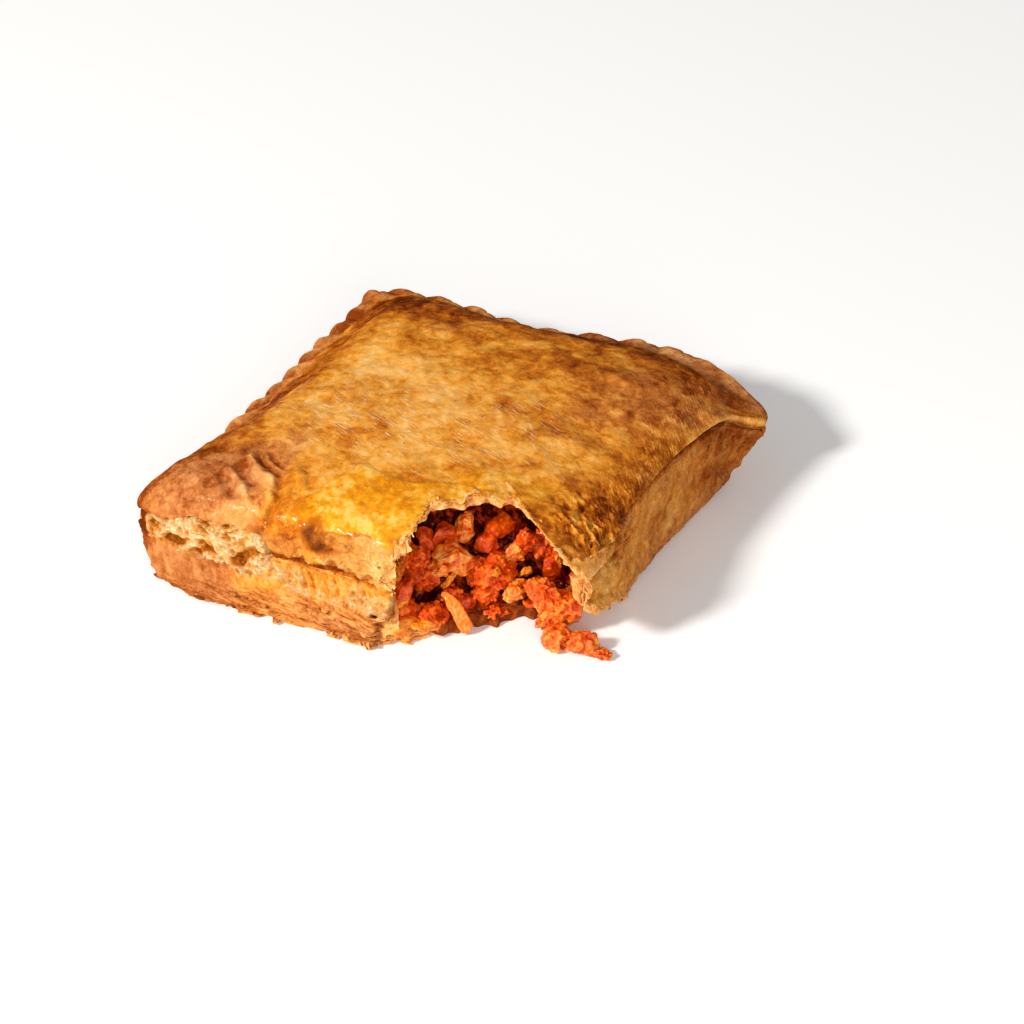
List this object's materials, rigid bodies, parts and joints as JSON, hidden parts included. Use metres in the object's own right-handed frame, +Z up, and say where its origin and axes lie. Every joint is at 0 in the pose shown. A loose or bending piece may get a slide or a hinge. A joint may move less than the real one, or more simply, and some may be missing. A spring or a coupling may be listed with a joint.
{
  "type": "torn puff pastry pasty",
  "caption": "Square puff pastry pasty of two crimped sheets, with one corner torn off to show the chunky filling running through it.",
  "frame": {"origin": "on the table under the middle of the pasty's box", "axes": "+Z up, the pasty's sides along X and Y, the torn corner towards +X and -Y, the crimped sides towards -X and +Y"},
  "size_m": [0.1272, 0.1322, 0.0365],
  "materials": {
    "glazed_crust": "egg-glazed, golden brown puff pastry with darker edges",
    "pale_crust": "dry, flaky, pale golden puff pastry",
    "filling": "wet chicken and vegetable pieces in a thick tomato sauce"
  },
  "bodies": {
    "root": {"pastry_lid": "glazed_crust", "pastry_base": "pale_crust", "filling": "filling", "filling_lump": "filling"}
  },
  "joints": []
}
